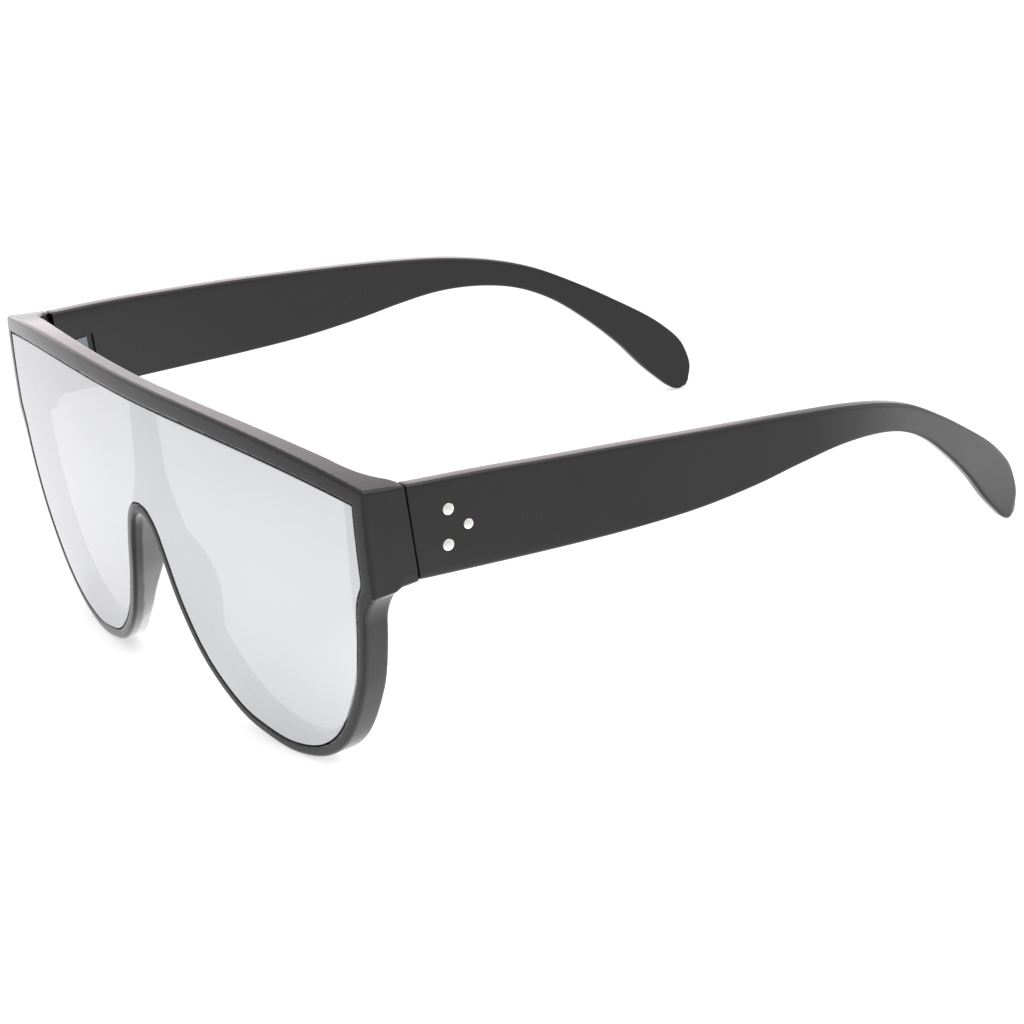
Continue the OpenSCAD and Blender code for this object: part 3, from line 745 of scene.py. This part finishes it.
def block(low, high):
    """The eight corners and six outward faces of a box, for cutting only."""
    xs, ys, zs = zip(low, high)
    corners = [(x, y, z) for x in xs for y in ys for z in zs]
    faces = [(0, 1, 3, 2), (4, 6, 7, 5), (0, 4, 5, 1), (2, 3, 7, 6), (0, 2, 6, 4), (1, 5, 7, 3)]
    return corners, faces


def stud_axes(k):
    """A stud's place on the outer face, its outward direction, and two directions across it."""
    y = temple_y + stud_shares[k][0] * temple_len
    place = np.array((float(outer_x(np.array(y))), y, stud_shares[k][1] * joint_top))
    angle = math.asin((y - peak_y) / bow_r)
    out = np.array((math.cos(angle), math.sin(angle), 0.0))
    return place, out, np.array((-math.sin(angle), math.cos(angle), 0.0)), np.array((0, 0, 1.0))


def drum(place, out, one, two, radius, low, high, sides=40):
    """A closed drum about a stud's axis, for cutting only."""
    a = np.linspace(0, 2 * math.pi, sides, endpoint=False)[:, None]
    ring = radius * (np.cos(a) * one + np.sin(a) * two)
    points = np.concatenate([place + low * out + ring, place + high * out + ring])
    walls = [(k, (k + 1) % sides, sides + (k + 1) % sides, sides + k) for k in range(sides)]
    return points.tolist(), walls + [tuple(range(sides))[::-1], tuple(range(sides, 2 * sides))]


def cut_out(piece, shapes):
    """Takes closed shapes out of a piece one by one, then smooths all but the cuts' edges."""
    for corners, sides in shapes:
        mesh = bpy.data.meshes.new("cut")
        mesh.from_pydata((np.array(corners) * MM).tolist(), [], sides)
        knife = bpy.data.objects.new("cut", mesh)
        bpy.context.scene.collection.objects.link(knife)
        step = piece.modifiers.new("cut", "BOOLEAN")
        step.operation, step.solver, step.object = "DIFFERENCE", "EXACT", knife
        bpy.context.view_layer.update()
        seen_from = bpy.context.evaluated_depsgraph_get()
        made = bpy.data.meshes.new_from_object(piece.evaluated_get(seen_from))
        piece.modifiers.remove(step)
        bpy.data.objects.remove(knife)
        made.name = piece.name
        piece.data = made
    piece.data.polygons.foreach_set("use_smooth", [True] * len(piece.data.polygons))
    piece.data.set_sharp_from_angle(angle=math.radians(38))


slot_low, slot_high = stack_low - slot_gap, stack_top + slot_gap
leaf_face = leaf_x + leaf_t
temple_cuts = [
    block(
        (pin_x - cut_inside[0], temple_y - cut_ahead[0], slot_low),
        (leaf_face + leaf_gap, temple_y + slot_len, slot_high),
    ),
    block(
        (pin_x - cut_inside[1], temple_y - cut_ahead[1], slot_low),
        (leaf_face + knuckle_gap, pin_y + knuckle_r + knuckle_gap, slot_high),
    ),
]
temple_cuts += [
    drum(*stud_axes(k), d / 2 + stud_groove, -groove_depth, 1) for k, d in enumerate(stud_d)
]
temple_points, temple_faces = temple_skin()
for side, arm, grain_turn in ((1, "left", (0.2, 0.9, 0.4)), (-1, "right", (1.1, 0.3, 0.7))):
    flip = (side, 1, 1)
    shapes = [
        ([tuple(np.array(c) * flip) for c in corners], [tuple(f[::side]) for f in sides])
        for corners, sides in temple_cuts
    ]
    temple = new_piece(
        arm + "_temple_moulding", temple_points * flip, [f[::side] for f in temple_faces],
        soft_black("soft_black_" + arm, grain_turn),
    )
    cut_out(temple, shapes)
    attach(temple, arm + "_arm")
    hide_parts(arm + "_temple")

# Hinges
# Each hinge is two stamped steel leaves with curled knuckles on a slotted screw. One leaf is
# moulded into the endpiece, the other lies in the temple's slot. Both are brushed lengthwise.


def brushed_steel(name, tone, roughness):
    """Bare steel with fine drawn lines along the leaf in its gloss and bump, and cloudy differences
    in its colour.
    """
    material, sockets, link, place = new_finish(name)
    drawn = add(material, "Mapping", {"Vector": place, "Scale": (1.0, 0.06, 1.0)})
    lines = noise(material, drawn.outputs["Vector"], 9000.0, 3.0, 0.6)
    cloud = noise(material, place, 700.0, 4.0, 0.6)
    link(tones(material, cloud, 0.3, 0.7, [0.8 * c for c in tone], tone), sockets["Base Color"])
    gloss = spread(material, lines, 0.3, 0.7, roughness - 0.06, roughness + 0.08)
    link(gloss, sockets["Roughness"])
    link(bump(material, lines, 0.4, 0.000006), sockets["Normal"])
    sockets["Metallic"].default_value = 1.0
    return material


leaf_steel = brushed_steel("hinge_leaf_steel", (0.17, 0.195, 0.21), 0.36)
screw_steel = brushed_steel("hinge_screw_steel", (0.62, 0.63, 0.65), 0.28)
for arm in ("left", "right"):
    for node, steel in (
        ("front_leaf", leaf_steel), ("temple_leaf", leaf_steel), ("hinge_screw", screw_steel),
    ):
        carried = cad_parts[arm + "_" + node]
        carried.data.materials.clear()
        carried.data.materials.append(steel)

# Studs
# Three bright domed metal pins are pressed into the outer face of each temple behind the joint, as
# a triangle that points backwards. Each sits in a fine dark groove and is polished like a mirror.
stud_shoulder, stud_bevel = 0.1, 0.05
lathe_place, lathe_width, lathe_depth = 0.72, 0.06, 0.025
stud_silver, sockets, link, place = new_finish("stud_silver")
cloud = noise(stud_silver, place, 900.0, 3.0, 0.5)
silver = tones(stud_silver, cloud, 0.3, 0.7, (0.66, 0.65, 0.61), (0.75, 0.74, 0.70))
link(silver, sockets["Base Color"])
link(spread(stud_silver, cloud, 0.3, 0.7, 0.14, 0.26), sockets["Roughness"])
link(bump(stud_silver, cloud, 0.2, 0.00001), sockets["Normal"])
sockets["Metallic"].default_value = 1.0


def stud_skin(k):
    """A domed pin turned about its axis: its foot, its wall, a small round shoulder and a dome with
    one shallow lathe mark, as rings of the radius and height of each point of that profile."""
    r = stud_d[k] / 2
    a = np.linspace(0, math.pi / 2, 6)
    wall = [(0.0, -stud_len), (r - stud_bevel, -stud_len), (r, -stud_len + stud_bevel)]
    bend = [
        (r - stud_shoulder * (1 - math.cos(t)), stud_shoulder * (math.sin(t) - 1)) for t in a
    ]
    dome = []
    for t in np.linspace(0, math.pi / 2, 25)[1:]:
        mark = lathe_depth * math.exp(-(((math.cos(t) - lathe_place) / lathe_width) ** 2))
        dome.append(((r - stud_shoulder) * math.cos(t), stud_rise * math.sin(t) - mark))
    profile = np.array(wall + bend + dome)
    profile[-1, 0] = 0.0
    place, out, one, two = stud_axes(k)
    turn = np.linspace(0, 2 * math.pi, 40, endpoint=False)
    ring = np.cos(turn)[:, None] * one + np.sin(turn)[:, None] * two
    points = place + profile[:, None, 1:] * out + profile[:, None, :1] * ring[None]
    n = len(turn)
    number = np.arange(points.shape[0] * n).reshape(-1, n)
    number[0], number[-1] = number[0, 0], number[-1, 0]
    after = np.roll(number, -1, axis=1)
    faces = np.stack([number[:-1], after[:-1], after[1:], number[1:]], -1).reshape(-1, 4)
    return points.reshape(-1, 3), faces


for side, arm in ((1, "left"), (-1, "right")):
    points, faces = [], []
    for k in range(len(stud_d)):
        stud_points, stud_faces = stud_skin(k)
        faces += [tuple(dict.fromkeys(int(i) + len(points) for i in f))[::side] for f in stud_faces]
        points += (stud_points * (side, 1, 1)).tolist()
    studs = new_piece(arm + "_studs", points, [f for f in faces if len(f) > 2], stud_silver)
    studs.data.set_sharp_from_angle(angle=math.radians(50))
    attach(studs, arm + "_arm")
    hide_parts(arm + "_temple_studs")

# Floor and light
# A pale floor that the camera sees as white. On it lie round pools of painted glow, strongest near
# the object, which are no lamps: the camera sees them, the plastic and the lens show them as
# painted reflections, and the one under the nose shows in reflections only. Soft light comes from a
# pale surround and from boxes at the left, behind and overhead.
floor_half, floor_z = 4, -0.00003
floor_corners = [
    (x * floor_half, y * floor_half, floor_z) for x, y in ((-1, -1), (1, -1), (1, 1), (-1, 1))
]
floor_mesh = bpy.data.meshes.new("floor")
floor_mesh.from_pydata(floor_corners, [], [(0, 1, 2, 3)])
floor = bpy.data.objects.new("floor", floor_mesh)
bpy.context.scene.collection.objects.link(floor)
pale = bpy.data.materials.new("pale_floor")
pale.use_nodes = True
pale.node_tree.nodes.clear()
rays = add(pale, "LightPath").outputs
direct, glossy = rays["Is Camera Ray"], rays["Is Glossy Ray"]
for kind in (glossy, rays["Is Transmission Ray"]):
    direct = add(pale, "Math", {0: direct, 1: kind}, operation="MAXIMUM").outputs[0]
spot = add(pale, "TexCoord").outputs["Object"]
glow = 0.0
# Each row is one round pool of painted glow: its middle, where its fading begins and ends, its
# strength inside and outside, and the rays that see it.
for middle, begins, ends, inside, outside, seen_by in (
    ((0, 0, 0), 0.04, 0.3, 0.6, 0.38, direct),
    ((0.1, -0.055, 0), 0.02, 0.065, 1.0, 0, direct),
    ((0.035, -0.02, 0), 0.02, 0.05, 1.2, 0, direct),
    ((0.08, 0.125, 0), 0.02, 0.075, 1.1, 0, direct),
    ((-0.012, -0.05, 0), 0.01, 0.035, 2.5, 0, glossy),
):
    reach = add(pale, "VectorMath", {0: spot, 1: middle}, operation="DISTANCE")
    painted_pool = spread(pale, reach.outputs["Value"], begins, ends, inside, outside, "SMOOTHSTEP")
    glow = add(pale, "Math", {0: painted_pool, 1: seen_by, 2: glow}, operation="MULTIPLY_ADD").outputs[0]
matt = add(pale, "BsdfDiffuse", {"Color": (0.55, 0.565, 0.56, 1)})
# The painted glow of the pools is added as emission over the matt floor.
painted_pool_glow = add(pale, "Emission", {"Color": (1, 1, 1, 1), "Strength": glow})
both = add(pale, "AddShader", {0: matt.outputs[0], 1: painted_pool_glow.outputs[0]})
add(pale, "OutputMaterial", {"Surface": both.outputs[0]})
floor_mesh.materials.append(pale)

world = bpy.data.worlds.new("surround")
bpy.context.scene.world = world
world.use_nodes = True
world.node_tree.nodes.clear()
soft = add(world, "Background", {"Color": (1, 0.955, 0.972, 1), "Strength": 0.95}).outputs[0]
white = add(world, "Background", {"Color": (1, 1, 1, 1), "Strength": 1.0}).outputs[0]
seen = add(world, "LightPath").outputs["Is Camera Ray"]
chosen = add(world, "MixShader", {0: seen, 1: soft, 2: white})
add(world, "OutputWorld", {"Surface": chosen.outputs[0]})


def lamp(name, place, aim, width, height, glow, colour=(1, 1, 1)):
    """A soft lamp of that width and height at place, turned to face aim. Its power follows from
    its glow, which is how bright its face looks where 1 is white."""
    light = bpy.data.lights.new(name, "AREA")
    light.shape, light.size, light.size_y, light.color = "RECTANGLE", width, height, colour
    light.energy = glow * math.pi * width * height
    holder = bpy.data.objects.new(name, light)
    holder.location = place
    holder.rotation_euler = (Vector(aim) - Vector(place)).to_track_quat("-Z", "Y").to_euler()
    bpy.context.scene.collection.objects.link(holder)


lamp("left_softbox", (-1.15, 0.16, 0.42), (0, 0, 0.04), 1.5, 0.9, 1.15, (1, 0.9, 0.935))
lamp("rear_softbox", (0.35, 1.0, 0.2), (0, 0, 0.04), 0.7, 0.34, 1.3)
lamp("top_softbox", (0.3, 0.28, 1.05), (0, 0, 0), 1.1, 1.1, 1.5)

bpy.context.scene.view_settings.view_transform = "Standard"
